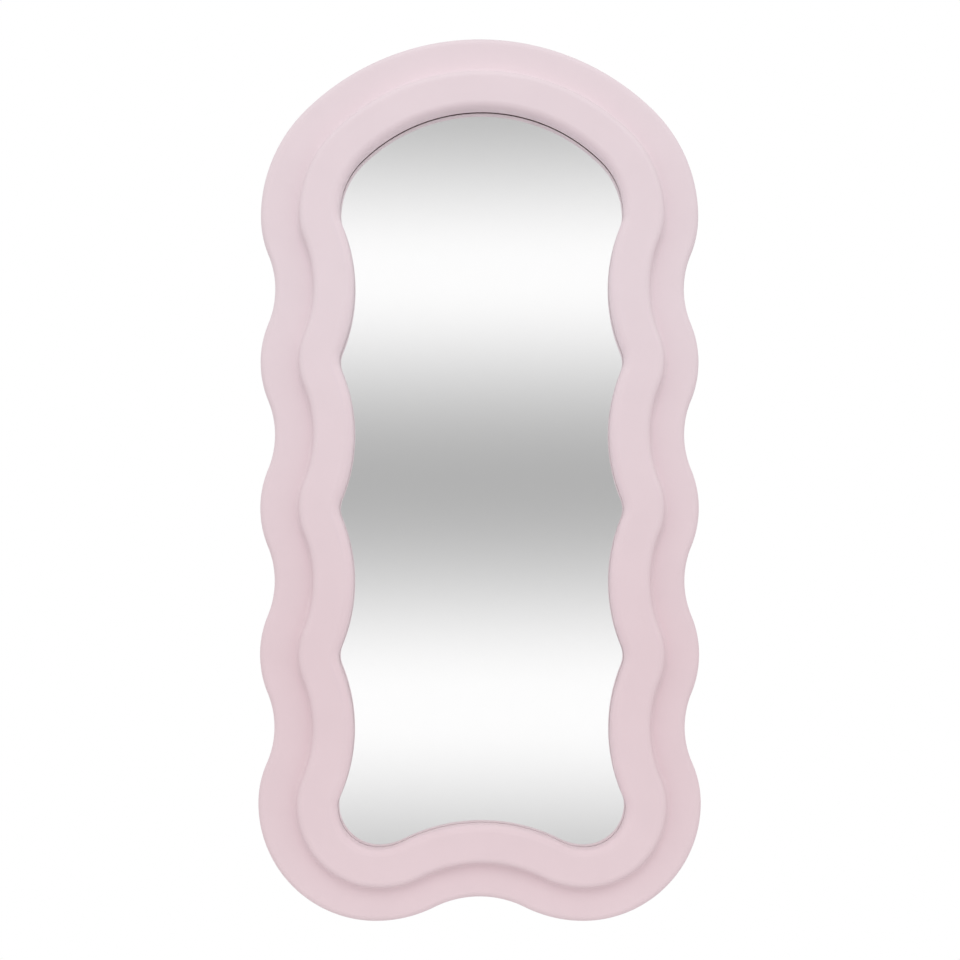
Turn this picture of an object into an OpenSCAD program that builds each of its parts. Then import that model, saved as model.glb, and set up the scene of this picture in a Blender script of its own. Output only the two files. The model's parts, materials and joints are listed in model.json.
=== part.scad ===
// Wavy wall mirror: two routed boards laminated into a stepped frame, a mirror held in a
// rebate behind the opening, a screwed back board, two D-ring hangers and four wall bumpers.
// Seen from the front the mirror faces -Y, +X is to the right and +Z is up. Y = 0 is the wall,
// and Z = 0 is the line of the two wall hooks that carry the rings when they are turned up.

/* [Outline] */
// Width across the bulges of the sides
body_w = 497; // [460:1:600]
// How far each bottom lobe stands out past the side bulges
lobe_out = 1.5; // [0:0.5:5]
// Full waves down each side, from the shoulder to the last bulge
wave_count = 3; // [1:1:5]
// Height of one full wave
wave_pitch = 165.5; // [155:0.5:200]
// Depth of a valley below the bulges
wave_depth = 16.5; // [8:0.5:20]
// Share of a wave's curve that the arc of the bulge takes, the rest being the valley's
bulge_share = 0.53; // [0.5:0.01:0.6]
// Rise of the arch above the widest point of the shoulders
arch_rise = 202.5; // [192:0.5:240]
// Radius of the shoulders
shoulder_r = 171; // [120:1:182]
// Radius of the side of a bottom lobe
lobe_r = 133; // [115:1:150]
// Height of the last valley above the widest point of the lobes
lobe_rise = 85; // [76:1:110]
// Rise of the hollow between the lobes
hollow_rise = 27.5; // [15:0.5:40]
// Share of the bottom curve that the arc of the lobe takes, the rest being the hollow's
lobe_share = 0.565; // [0.5:0.005:0.6]
// Longest straight run used to draw the outline
facet_len = 12; // [10:1:24]

/* [Frame] */
// Width of the low outer step
ledge_w = 40; // [25:1:46]
// Width of the raised inner ring
ring_w = 47; // [42:1:53]
// Thickness of the rear board
rear_t = 18; // [15:0.5:25]
// Thickness of the front board
front_t = 18; // [12:0.5:25]
// Rounding of the outer front edge of the rear board
ledge_round = 5; // [2:0.5:8]
// Rounding of the outer front edge of the raised ring
ring_round = 4; // [2:0.5:8]
// Rounding of the inner front edge, at the opening
lip_round = 9; // [4:0.5:11]
// Bevel round the back edge
back_bevel = 1.5; // [0.5:0.5:3]

/* [Glass and back] */
// Thickness of the mirror glass
glass_t = 4; // [3:0.5:6]
// Thickness of the tape that beds the glass on the frame
tape_t = 1; // [0.5:0.1:1.5]
// Width of the bedding tape
tape_w = 6; // [4:0.5:6.5]
// How far the tape is set back from the opening
tape_setback = 2; // [1:0.5:2.5]
// Thickness of the safety film on the back of the glass
film_t = 0.3; // [0.2:0.1:0.5]
// Thickness of the foam sheet behind the film
foam_t = 2; // [1:0.5:3]
// Thickness of the back board
board_t = 3; // [2.5:0.5:4]
// How far the back board sits below the back of the frame
board_sink = 0.2; // [0:0.1:1]
// Width of the rebate that holds the glass
glass_lap = 10; // [8:0.5:12]
// Width of the rebate that holds the back board
board_lap = 24; // [20:0.5:26]
// Clearance round the edges of the glass and of the back board
edge_gap = 1; // [0.5:0.1:1.5]

/* [Hangers] */
// Distance of each hanger from the valley beside it
hanger_inset = 32; // [26:1:42]
// Height of the ring hinge below the widest point of the shoulders
hanger_drop = 32; // [28:1:44]
// Thickness of the hanger plate
plate_t = 1; // [0.8:0.1:1.5]
// Width of the hanger plate
plate_w = 14; // [12:0.5:16]
// Clearance between the hanging ring and the first screw head
ring_head_gap = 1; // [0.5:0.5:4]
// Distance between the two plate screws
plate_screw_pitch = 10.5; // [8:0.5:14]
// Distance from the last screw to the end of the plate
plate_end = 6; // [4:0.5:8]
// Diameter of the ring wire
wire_d = 2.5; // [2:0.1:2.8]
// Width of the ring between the middles of its legs
ring_loop_w = 24; // [23:0.5:26]
// Height of the ring from the hinge to the middle of its bow
ring_loop_h = 20; // [18.5:0.5:21]
// Radius of the two corners of the ring, at the middle of the wire
ring_corner_r = 3; // [2.5:0.1:3.5]
// Clearance between the ring and the rolled eye of the plate
ring_play = 0.25; // [0.2:0.05:0.4]

/* [Bumpers] */
// Thickness of the wall bumpers
bumper_t = 6; // [5.5:0.5:10]
// Diameter of a bumper where it is stuck to the frame
bumper_d = 16; // [12:0.5:20]
// Diameter of its face against the wall
bumper_face_d = 13; // [8:0.5:18]
// Distance of the bumpers from the outer edge
bumper_inset = 20; // [16:1:26]
// Place of the upper bumpers along the top arc, from its middle at 0 to its end at 1
top_bumper_share = 0.6; // [0.4:0.05:0.9]
// Place of the lower bumpers along the side of a lobe, from its widest point at 0
low_bumper_share = 0.3; // [0:0.05:0.8]

/* [Screws] */
// Distance of the ring screws from the outer edge of the raised ring
ring_screw_inset = 12; // [9:0.5:14]
// Diameter of the ring screws
ring_screw_d = 3.8; // [3:0.1:4.5]
// Length of the ring screws
ring_screw_len = 28; // [24:0.5:30]
// Diameter of their countersunk heads
ring_screw_head_d = 8; // [7:0.1:9]
// Height of the countersunk heads
ring_screw_head_t = 2.6; // [2:0.1:3]
// Diameter of the back board screws and hanger screws
small_screw_d = 3; // [2.5:0.1:3.5]
// Length of the small screws under their heads
small_screw_len = 12; // [10:0.5:14]
// Diameter of the small screw heads
small_head_d = 6.4; // [5.5:0.1:7]
// Height of the small screw heads
small_head_t = 1.7; // [1.2:0.1:2.2]
// Diameter of the flat on top of a small screw head
small_head_face_d = 4.4; // [3.5:0.1:5]
// Length of the point of every screw
point_len = 3; // [2:0.5:4]
// Diameter of the blunt end of the point
point_d = 1; // [0.5:0.1:1.5]
// Clearance round every screw
screw_play = 0.1; // [0.05:0.05:0.3]
// Length of the cross recess in a screw head
cross_len = 3; // [2:0.1:3.4]
// Width of the cross recess
cross_w = 0.9; // [0.6:0.1:1.2]
// Depth of the cross recess
cross_depth = 1; // [0.6:0.1:1.1]

/* [Hidden] */
$fn = 48;

// Two arcs that meet at a tangent and carry a curve over a run and sideways by a depth have
// radii that add up to this
function arc_sum(run, depth) = (run * run + depth * depth) / (2 * depth);

half_w = body_w / 2;
half_pitch = wave_pitch / 2;
wave_sum = arc_sum(half_pitch, wave_depth);
bulge_r = bulge_share * wave_sum;
valley_r = wave_sum - bulge_r;
wave_swing = asin(half_pitch / wave_sum);

lobe_x = half_w + lobe_out;
lobe_depth = lobe_out + wave_depth;
lobe_sum = arc_sum(lobe_rise, lobe_depth);
lobe_top_r = bulge_share * lobe_sum;
lobe_valley_r = lobe_sum - lobe_top_r;
lobe_swing = asin(lobe_rise / lobe_sum);

lobe_run = lobe_x - lobe_r;
bottom_sum = arc_sum(lobe_run, hollow_rise);
under_r = lobe_share * bottom_sum;
hollow_r = bottom_sum - under_r;
bottom_swing = asin(lobe_run / bottom_sum);

// Heights above the lowest point of the frame
last_valley_z = lobe_r + lobe_rise;
shoulder_z = last_valley_z + (wave_count + 0.5) * wave_pitch;
shoulder_run = half_w - shoulder_r;
top_r = (shoulder_run * shoulder_run + arch_rise * arch_rise - shoulder_r * shoulder_r)
    / (2 * (arch_rise - shoulder_r));
top_z = shoulder_z + arch_rise;
arch_angle = atan2(top_r - arch_rise, shoulder_run);

function bulge_z(k) = shoulder_z - k * wave_pitch;
function valley_z(k) = bulge_z(k) - half_pitch;

// The right half of the outline as arcs, from the top of the arch to the middle of the hollow.
// Each arc is [centre x, centre z, radius, first angle, last angle, side], where side is 1 on
// an arc that bulges out and -1 on one that curves in
top_arc = [0, top_z - top_r, top_r, 90, arch_angle, 1];
shoulder_arc = [shoulder_run, shoulder_z, shoulder_r, arch_angle, 0, 1];
lobe_arc = [lobe_run, lobe_r, lobe_r, 0, -90, 1];
under_arc = [lobe_run, under_r, under_r, -90, -90 - bottom_swing, 1];
hollow_arc = [0, hollow_rise - hollow_r, hollow_r, 90 - bottom_swing, 90, -1];
valley_x = half_w - wave_depth;

function wave_down(k) = [
    [half_w - bulge_r, bulge_z(k), bulge_r, 0, -wave_swing, 1],
    [valley_x + valley_r, valley_z(k), valley_r, 180 - wave_swing, 180, -1]
];
function wave_up(k) = [
    [valley_x + valley_r, valley_z(k), valley_r, 180, 180 + wave_swing, -1],
    [half_w - bulge_r, bulge_z(k + 1), bulge_r, wave_swing, 0, 1]
];
function wave_to_lobe(k) = [
    [valley_x + lobe_valley_r, valley_z(k), lobe_valley_r, 180, 180 + lobe_swing, -1],
    [lobe_x - lobe_top_r, lobe_r, lobe_top_r, lobe_swing, 0, 1]
];
function arcs_of_wave(k) = concat(wave_down(k), k < wave_count ? wave_up(k) : wave_to_lobe(k));
arcs = concat(
    [top_arc, shoulder_arc],
    [for (k = [0 : wave_count]) for (arc = arcs_of_wave(k)) arc],
    [lobe_arc, under_arc, hollow_arc]
);

// A point of an arc, at a share of its length and at a distance in from the outer edge
function arc_spot(arc, share, inset) =
    let (radius = arc[2] - arc[5] * inset, angle = arc[3] + share * (arc[4] - arc[3]))
    [arc[0] + radius * cos(angle), arc[1] + radius * sin(angle)];

function arc_steps(arc) = max(2, ceil(arc[2] * abs(arc[4] - arc[3]) * PI / 180 / facet_len));

function half_outline(inset) = concat(
    [for (arc = arcs) for (i = [0 : arc_steps(arc) - 1]) arc_spot(arc, i / arc_steps(arc), inset)],
    [arc_spot(hollow_arc, 1, inset)]
);

function mirrored(spot) = [-spot[0], spot[1]];

// The whole outline, at a distance in from the outer edge
function outline(inset) =
    let (half = half_outline(inset))
    concat(half, [for (i = [len(half) - 2 : -1 : 1]) mirrored(half[i])]);

// Distances in from the outer edge
frame_w = ledge_w + ring_w;
glass_rebate = frame_w - glass_lap;
board_rebate = frame_w - board_lap;

// Depths forward from the back of the frame
board_back = board_sink;
foam_back = board_back + board_t;
film_back = foam_back + foam_t;
glass_back = film_back + film_t;
tape_back = glass_back + glass_t;
lip_back = tape_back + tape_t;
frame_t = rear_t + front_t;

// Places of the hangers, on the right side
hanger_x = valley_x - hanger_inset;
hanger_z = shoulder_z - hanger_drop;
hangers = [[hanger_x, hanger_z]];
wire_r = wire_d / 2;
eye_y = plate_t + ring_play + wire_r;
eye_r = wire_r + ring_play + plate_t;
hook_z = hanger_z + ring_loop_h - wire_r;
plate_screw_z = ring_loop_h + wire_r + ring_head_gap + small_head_d / 2;
plate_len = plate_screw_z + plate_screw_pitch + plate_end;
plate_screws = [[0, -plate_screw_z], [0, -plate_screw_z - plate_screw_pitch]];

// Places of the screws and bumpers, each a list for the middle and one for the right side
ring_screw_line = ledge_w + ring_screw_inset;
ring_screws_middle = [arc_spot(top_arc, 0, ring_screw_line), arc_spot(hollow_arc, 1, ring_screw_line)];
ring_screws_right = concat(
    [arc_spot(shoulder_arc, 0, ring_screw_line), arc_spot(lobe_arc, 0.5, ring_screw_line)],
    [for (k = [0 : wave_count]) arc_spot(wave_down(k)[0], 0, ring_screw_line)]
);
board_screw_line = board_rebate + (board_lap - glass_lap) / 2;
board_screws_middle = [arc_spot(hollow_arc, 1, board_screw_line)];
board_screws_right = concat(
    [arc_spot(top_arc, 0.5, board_screw_line), arc_spot(shoulder_arc, 0.5, board_screw_line)],
    [for (k = [0 : wave_count]) arc_spot(wave_down(k)[1], 1, board_screw_line)],
    [arc_spot(lobe_arc, 0.4, board_screw_line)]
);
top_bumper = arc_spot(top_arc, top_bumper_share, bumper_inset);
low_bumper = arc_spot(lobe_arc, low_bumper_share, bumper_inset);

// Builds a piece in heights above the lowest point and depths forward from the frame's back
module in_place() translate([0, -bumper_t, -hook_z]) children();

// A flat sheet of an outline, from one depth forward by a thickness
module sheet(back, thickness) translate([0, -back, 0]) rotate([90, 0, 0])
    linear_extrude(thickness) children();

// Points of a quarter round: corner and radius of the round, first angle, as [inset, depth]
round_steps = 4;
function quarter(inset, depth, radius, from) = [
    for (i = [0 : round_steps])
        let (angle = from - 90 * i / round_steps)
        [inset + radius * cos(angle), depth + radius * sin(angle)]
];

// Sweeps a closed section of [inset, depth] points round the outline
module swept(section) {
    loops = [for (spot = section) outline(spot[0])];
    count = len(loops[0]);
    levels = len(section);
    polyhedron(
        points = [
            for (k = [0 : levels - 1]) for (spot = loops[k]) [spot[0], -section[k][1], spot[1]]
        ],
        faces = [
            for (k = [0 : levels - 1]) for (i = [0 : count - 1])
                let (next = (i + 1) % count, up = (k + 1) % levels)
                [k * count + i, up * count + i, up * count + next, k * count + next]
        ]
    );
}

// Puts a copy of a thing at each [x, z] spot, and at both sides of the frame
module at_spots(spots) for (spot = spots) translate([spot[0], 0, spot[1]]) children();
function both_sides(spots) = concat(spots, [for (spot = spots) mirrored(spot)]);

// Turns a thing that stands on z = 0 to point forward from a depth of the frame
module pointing_forward(depth) translate([0, -depth, 0]) rotate([90, 0, 0]) children();

// The plain hole for a screw, from its seat forward
module screw_hole(diameter, length)
    cylinder(h = length + screw_play, d = diameter + 2 * screw_play);

module screw_shank(diameter, length) {
    cylinder(h = length - point_len, d = diameter);
    translate([0, 0, length - point_len]) cylinder(h = point_len, d1 = diameter, d2 = point_d);
}

// The cross recess, cut forward from the back of a head
module cross_recess() translate([0, 0, cross_depth / 2]) {
    cube([cross_len, cross_w, cross_depth], center = true);
    cube([cross_w, cross_len, cross_depth], center = true);
}

// A countersunk screw, with the back of its head at z = 0
module ring_screw() difference() {
    union() {
        cylinder(h = ring_screw_head_t, d1 = ring_screw_head_d, d2 = ring_screw_d);
        screw_shank(ring_screw_d, ring_screw_len);
    }
    translate([0, 0, -cross_depth / 2]) cross_recess();
    cross_recess();
}

// The countersunk hole of a ring screw, from the back of the frame forward
module ring_screw_hole() {
    cylinder(
        h = ring_screw_head_t,
        d1 = ring_screw_head_d + 2 * screw_play, d2 = ring_screw_d + 2 * screw_play
    );
    screw_hole(ring_screw_d, ring_screw_len);
}

// A small pan head screw, with the seat of its head at z = 0
small_head_edge = small_head_t / 2;
module small_screw() difference() {
    union() {
        translate([0, 0, -small_head_edge]) cylinder(h = small_head_edge, d = small_head_d);
        translate([0, 0, -small_head_t])
            cylinder(h = small_head_edge, d1 = small_head_face_d, d2 = small_head_d);
        screw_shank(small_screw_d, small_screw_len);
    }
    translate([0, 0, -small_head_t - cross_depth / 2]) cross_recess();
    translate([0, 0, -small_head_t]) cross_recess();
}

module frame_rear_board() color("#e4d2d7") in_place() difference() {
    swept(concat(
        [[back_bevel, 0], [0, back_bevel]],
        quarter(ledge_round, rear_t - ledge_round, ledge_round, 180),
        [
            [frame_w, rear_t], [frame_w, lip_back], [glass_rebate, lip_back],
            [glass_rebate, foam_back], [board_rebate, foam_back], [board_rebate, 0]
        ]
    ));
    at_spots(concat(ring_screws_middle, both_sides(ring_screws_right)))
        pointing_forward(0) ring_screw_hole();
    at_spots(concat(board_screws_middle, both_sides(board_screws_right)))
        pointing_forward(board_back) screw_hole(small_screw_d, small_screw_len);
    at_spots(both_sides(hangers)) at_spots(plate_screws)
        pointing_forward(-plate_t) screw_hole(small_screw_d, small_screw_len);
}

module frame_front_ring() color("#e4d2d7") in_place() difference() {
    swept(concat(
        [[ledge_w, rear_t]],
        quarter(ledge_w + ring_round, frame_t - ring_round, ring_round, 180),
        quarter(frame_w - lip_round, frame_t - lip_round, lip_round, 90),
        [[frame_w, rear_t]]
    ));
    at_spots(concat(ring_screws_middle, both_sides(ring_screws_right)))
        pointing_forward(0) screw_hole(ring_screw_d, ring_screw_len);
}

module ring_screws() color("silver") in_place()
    at_spots(concat(ring_screws_middle, both_sides(ring_screws_right)))
        pointing_forward(0) ring_screw();

module glass_bedding_tape() color("dimgray") in_place() sheet(tape_back, tape_t) difference() {
    polygon(outline(frame_w - tape_setback - tape_w));
    polygon(outline(frame_w - tape_setback));
}

module glass_stack_sheet(back, thickness)
    in_place() sheet(back, thickness) polygon(outline(glass_rebate + edge_gap));

module mirror_glass() color("#d8dcdb") glass_stack_sheet(glass_back, glass_t);

module safety_film() color("lightsteelblue") glass_stack_sheet(film_back, film_t);

module foam_sheet() color("white") glass_stack_sheet(foam_back, foam_t);

module back_board() color("#8a6a4a") in_place() difference() {
    sheet(board_back, board_t) polygon(outline(board_rebate + edge_gap));
    at_spots(concat(board_screws_middle, both_sides(board_screws_right)))
        pointing_forward(board_back) screw_hole(small_screw_d, small_screw_len);
}

module back_board_screws() color("silver") in_place()
    at_spots(concat(board_screws_middle, both_sides(board_screws_right)))
        pointing_forward(board_back) small_screw();

// A hanger plate with its rolled eye, hinge at the origin of x and z, back of the frame at y = 0
module hanger_plate() difference() {
    union() {
        translate([-plate_w / 2, 0, plate_w / 2 - plate_len])
            cube([plate_w, plate_t, plate_len - plate_w / 2]);
        translate([0, plate_t, plate_w / 2 - plate_len])
            rotate([90, 0, 0]) cylinder(h = plate_t, d = plate_w);
        translate([0, eye_y, 0])
            rotate([0, 90, 0]) cylinder(h = plate_w, r = eye_r, center = true);
    }
    translate([0, eye_y, 0])
        rotate([0, 90, 0]) cylinder(h = 2 * plate_w, r = wire_r + ring_play, center = true);
    at_spots(plate_screws) pointing_forward(-2 * plate_t) screw_hole(small_screw_d, 3 * plate_t);
}

// A D-shaped ring of wire that hangs from its straight bar
ring_half_w = ring_loop_w / 2;
ring_bow_z = ring_half_w - ring_loop_h;
module wire_bend(radius, from, angle) rotate([0, 0, from])
    rotate_extrude(angle = angle) translate([radius, 0]) circle(r = wire_r);
module hanger_ring() translate([0, eye_y, 0]) {
    rotate([0, 90, 0]) cylinder(h = ring_loop_w - 2 * ring_corner_r, r = wire_r, center = true);
    for (side = [-1, 1]) {
        translate([side * (ring_half_w - ring_corner_r), 0, -ring_corner_r])
            rotate([90, 0, 0]) wire_bend(ring_corner_r, side > 0 ? 0 : 90, 90);
        translate([side * ring_half_w, 0, ring_bow_z])
            cylinder(h = -ring_bow_z - ring_corner_r, r = wire_r);
    }
    translate([0, 0, ring_bow_z]) rotate([90, 0, 0]) wire_bend(ring_half_w, 180, 180);
}

module hanger_screws() at_spots(plate_screws) pointing_forward(-plate_t) small_screw();

module bumper() rotate([-90, 0, 0]) cylinder(h = bumper_t, d1 = bumper_d, d2 = bumper_face_d);

// Puts a thing at a spot of the right side, or at its mirror image on the left
module at_right(spot) in_place() at_spots([spot]) children();
module at_left(spot) in_place() at_spots([mirrored(spot)]) children();

module hanger_plate_left() color("silver") at_left(hangers[0]) hanger_plate();
module hanger_plate_right() color("silver") at_right(hangers[0]) hanger_plate();
module hanger_ring_left() color("silver") at_left(hangers[0]) hanger_ring();
module hanger_ring_right() color("silver") at_right(hangers[0]) hanger_ring();
module hanger_screws_left() color("silver") at_left(hangers[0]) hanger_screws();
module hanger_screws_right() color("silver") at_right(hangers[0]) hanger_screws();
module wall_bumper_top_left() color("whitesmoke") at_left(top_bumper) bumper();
module wall_bumper_top_right() color("whitesmoke") at_right(top_bumper) bumper();
module wall_bumper_bottom_left() color("whitesmoke") at_left(low_bumper) bumper();
module wall_bumper_bottom_right() color("whitesmoke") at_right(low_bumper) bumper();

frame_rear_board();
frame_front_ring();
ring_screws();
glass_bedding_tape();
mirror_glass();
safety_film();
foam_sheet();
back_board();
back_board_screws();
hanger_plate_left();
hanger_plate_right();
hanger_ring_left();
hanger_ring_right();
hanger_screws_left();
hanger_screws_right();
wall_bumper_top_left();
wall_bumper_top_right();
wall_bumper_bottom_left();
wall_bumper_bottom_right();
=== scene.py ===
"""A wavy, arched wall mirror: a pale pink lacquered frame of two routed boards, a silvered
glass bedded behind its opening, a hardboard back, two D-ring hangers and four wall bumpers."""

import json
import math

import bmesh
import bpy
from mathutils import Matrix, Vector

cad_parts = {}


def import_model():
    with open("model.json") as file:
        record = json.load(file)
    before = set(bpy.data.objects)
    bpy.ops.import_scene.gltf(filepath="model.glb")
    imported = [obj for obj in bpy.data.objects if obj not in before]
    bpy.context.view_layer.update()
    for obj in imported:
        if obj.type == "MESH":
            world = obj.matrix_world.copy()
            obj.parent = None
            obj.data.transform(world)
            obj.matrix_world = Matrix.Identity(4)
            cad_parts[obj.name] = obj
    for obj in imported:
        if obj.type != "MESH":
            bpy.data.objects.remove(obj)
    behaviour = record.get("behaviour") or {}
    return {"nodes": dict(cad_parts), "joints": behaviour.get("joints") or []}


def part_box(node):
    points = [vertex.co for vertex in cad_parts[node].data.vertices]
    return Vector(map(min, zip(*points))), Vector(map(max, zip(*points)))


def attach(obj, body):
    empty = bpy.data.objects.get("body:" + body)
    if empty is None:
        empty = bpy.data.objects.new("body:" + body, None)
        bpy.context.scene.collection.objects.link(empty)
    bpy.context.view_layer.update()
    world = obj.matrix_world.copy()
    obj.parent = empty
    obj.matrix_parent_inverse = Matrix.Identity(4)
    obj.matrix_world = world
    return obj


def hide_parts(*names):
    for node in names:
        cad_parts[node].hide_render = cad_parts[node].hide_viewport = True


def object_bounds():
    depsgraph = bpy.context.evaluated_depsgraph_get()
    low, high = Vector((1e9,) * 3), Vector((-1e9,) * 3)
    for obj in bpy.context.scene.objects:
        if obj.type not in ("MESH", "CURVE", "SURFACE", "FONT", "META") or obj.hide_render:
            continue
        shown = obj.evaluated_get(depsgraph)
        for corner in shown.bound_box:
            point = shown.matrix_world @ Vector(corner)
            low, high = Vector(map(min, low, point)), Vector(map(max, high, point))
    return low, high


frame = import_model()
CAD_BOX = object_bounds()

# Heights and depths where the pieces meet, from the solids
FOOT_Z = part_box("frame_rear_board")[0].z
FRAME_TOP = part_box("frame_rear_board")[1].z
BACK_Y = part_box("frame_rear_board")[1].y
JOINT_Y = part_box("frame_rear_board")[0].y
FRONT_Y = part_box("frame_front_ring")[0].y
LIP_BACK_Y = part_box("glass_bedding_tape")[0].y
GLASS_FRONT_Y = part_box("mirror_glass")[0].y
GLASS_BACK_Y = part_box("mirror_glass")[1].y
PANEL_FRONT_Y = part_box("back_board")[0].y
PANEL_BACK_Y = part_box("back_board")[1].y

# The outline of the frame, in metres: width, waves, arch, lobes and hollow, and how far apart its points lie
BODY_W = 0.497
LOBE_OUT = 0.0015
WAVE_COUNT = 3
WAVE_PITCH = 0.1655
WAVE_DEPTH = 0.0165
BULGE_SHARE = 0.53
ARCH_RISE = 0.2025
SHOULDER_R = 0.171
LOBE_R = 0.133
LOBE_RISE = 0.085
HOLLOW_RISE = 0.0275
LOBE_SHARE = 0.565
POINT_STEP = 0.0042

# Widths of the frame, and how far in from its outer edge each rebate begins
LEDGE_W = 0.040
RING_W = 0.047
FRAME_W = LEDGE_W + RING_W
GLASS_SEAT_W = 0.010
BOARD_SEAT_W = 0.024
GLASS_REBATE = FRAME_W - GLASS_SEAT_W
BOARD_REBATE = FRAME_W - BOARD_SEAT_W

# What lies in the rebates: room round the sheets, silvering in front of the film, tape behind the lip
EDGE_GAP = 0.001
SILVER_GAP = 0.0001
TAPE_SETBACK = 0.001
TAPE_W = 0.003
# The strip lies low, so that its dark edge shows under the top of the lip as a painted shadow line and hides
# at the foot
TAPE_DROP_FOR_PAINTED_SHADOW = 0.001

# The ring as it was glued on by hand: a little to the right, its edge narrower, its opening taller
RING_SHIFT = 0.0023
RING_STRETCH = (0.988, 1, 1)
OPENING_STRETCH = (0.997, 1, 1.010)

# Rounding of the edges, the widest first, and how many steps a round and an arris have
LIP_ROUND = 0.009
LEDGE_ROUND = 0.007
RING_ROUND = 0.007
FILLER_COVE = 0.005
BACK_ROUND = 0.0015
GLASS_ARRIS = 0.0006
PANEL_ARRIS = 0.0003
ROUND_STEPS = 10
ARRIS_STEPS = 2

# Faces that meet at less than this many degrees are shaded as one curve
SMOOTH_ANGLE = 35
SCREW_SMOOTH_ANGLE = 30
SHEET_SMOOTH_ANGLE = 15

# Corners nearer than the first are merged, and places nearer than the second count as the same
MERGE_GAP = 2e-6
NEAR = 1e-5

# Screws: the lines they stand on, in from the outer edge, and their shanks, points, heads and crosses
RING_SCREW_EDGE = 0.012
RING_SCREW_LINE = LEDGE_W + RING_SCREW_EDGE
RING_SCREW_D = 0.0038
RING_SCREW_LEN = 0.028
RING_HEAD_D = 0.008
RING_HEAD_T = 0.0026
RING_HEAD_SINK = 0.0003
PANEL_SCREW_EDGE = 0.007
PANEL_SCREW_LINE = BOARD_REBATE + PANEL_SCREW_EDGE
SMALL_SCREW_D = 0.003
SMALL_SCREW_LEN = 0.012
SMALL_HEAD_D = 0.0064
SMALL_HEAD_T = 0.0017
SMALL_HEAD_FACE_D = 0.0044
HEAD_EDGE = 0.0001
DOME_ANGLES = (0, 22, 45, 68, 90)
POINT_LEN = 0.003
POINT_D = 0.001
CROSS_LEN = 0.003
CROSS_W = 0.0009
CROSS_DEPTH = 0.001
CROSS_TAPER = 0.6
SCREW_SIDES = 28
COUNTERSINK_SIDES = 32

# How many degrees each screw is turned further than the one before it
RING_SCREW_TURN = 37
PANEL_SCREW_TURN = 53
STRAP_SCREW_TURN = 41

# Wall bumpers: the face that rests on the wall, its rounded edge and the dish in it
BUMPER_FACE_R = 0.0065
BUMPER_ROUND = 0.0008
BUMPER_DISH = 0.0008
BUMPER_SIDES = 48

# Hangers: the strap, round at its lower end and rolled at its upper one, and the ring of wire
PLATE_T = 0.001
PLATE_W = 0.014
PLATE_SCREW_DROPS = (0.02545, 0.03595)
PLATE_END_SHARE = 0.48
PLATE_END_STEPS = 10
PLATE_ARRIS = 0.00018
PLATE_ARRIS_ANGLE = 50
ROLL_ANGLE = 290
ROLL_STEPS = 22
WIRE_R = 0.00125
WIRE_SIDES = 20
WIRE_END_GAP = 0.0001
RING_HALF_W = 0.012
RING_LOOP_H = 0.020
RING_CORNER_R = 0.003
CORNER_STEPS = 8
BOW_STEPS = 28


def arc_sum(run, depth):
    """The radii of two arcs that meet at a tangent and cover a run and a depth add up to this."""
    return (run * run + depth * depth) / (2 * depth)


def frame_arcs():
    """The right half of the outline from the top down, as (x, z, radius, first and last angle, side)."""
    half_w = BODY_W / 2
    half_pitch = WAVE_PITCH / 2
    wave_sum = arc_sum(half_pitch, WAVE_DEPTH)
    bulge_r = BULGE_SHARE * wave_sum
    valley_r = wave_sum - bulge_r
    swing = math.degrees(math.asin(half_pitch / wave_sum))
    valley_x = half_w - WAVE_DEPTH

    lobe_x = half_w + LOBE_OUT
    lobe_sum = arc_sum(LOBE_RISE, LOBE_OUT + WAVE_DEPTH)
    lobe_top_r = BULGE_SHARE * lobe_sum
    lobe_valley_r = lobe_sum - lobe_top_r
    lobe_swing = math.degrees(math.asin(LOBE_RISE / lobe_sum))

    lobe_run = lobe_x - LOBE_R
    bottom_sum = arc_sum(lobe_run, HOLLOW_RISE)
    under_r = LOBE_SHARE * bottom_sum
    hollow_r = bottom_sum - under_r
    bottom_swing = math.degrees(math.asin(lobe_run / bottom_sum))

    last_valley_z = LOBE_R + LOBE_RISE
    shoulder_z = last_valley_z + (WAVE_COUNT + 0.5) * WAVE_PITCH
    shoulder_run = half_w - SHOULDER_R
    top_r = (shoulder_run ** 2 + ARCH_RISE ** 2 - SHOULDER_R ** 2) / (2 * (ARCH_RISE - SHOULDER_R))
    arch_angle = math.degrees(math.atan2(top_r - ARCH_RISE, shoulder_run))

    arcs = {
        "top": (0, shoulder_z + ARCH_RISE - top_r, top_r, 90, arch_angle, 1),
        "shoulder": (shoulder_run, shoulder_z, SHOULDER_R, arch_angle, 0, 1),
    }
    for k in range(WAVE_COUNT + 1):
        bulge_z = shoulder_z - k * WAVE_PITCH
        valley_z = bulge_z - half_pitch
        arcs[f"bulge {k}"] = (half_w - bulge_r, bulge_z, bulge_r, 0, -swing, 1)
        arcs[f"valley {k}"] = (valley_x + valley_r, valley_z, valley_r, 180 - swing, 180, -1)
        if k < WAVE_COUNT:
            next_z = bulge_z - WAVE_PITCH
            arcs[f"valley {k} low"] = (valley_x + valley_r, valley_z, valley_r, 180, 180 + swing, -1)
            arcs[f"bulge {k + 1} top"] = (half_w - bulge_r, next_z, bulge_r, swing, 0, 1)
    last_swing = 180 + lobe_swing
    arcs["last valley"] = (valley_x + lobe_valley_r, last_valley_z, lobe_valley_r, 180, last_swing, -1)
    arcs["lobe top"] = (lobe_x - lobe_top_r, LOBE_R, lobe_top_r, lobe_swing, 0, 1)
    arcs["lobe"] = (lobe_run, LOBE_R, LOBE_R, 0, -90, 1)
    arcs["under"] = (lobe_run, under_r, under_r, -90, -90 - bottom_swing, 1)
    arcs["hollow"] = (0, HOLLOW_RISE - hollow_r, hollow_r, 90 - bottom_swing, 90, -1)
    return arcs


ARCS = frame_arcs()


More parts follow.
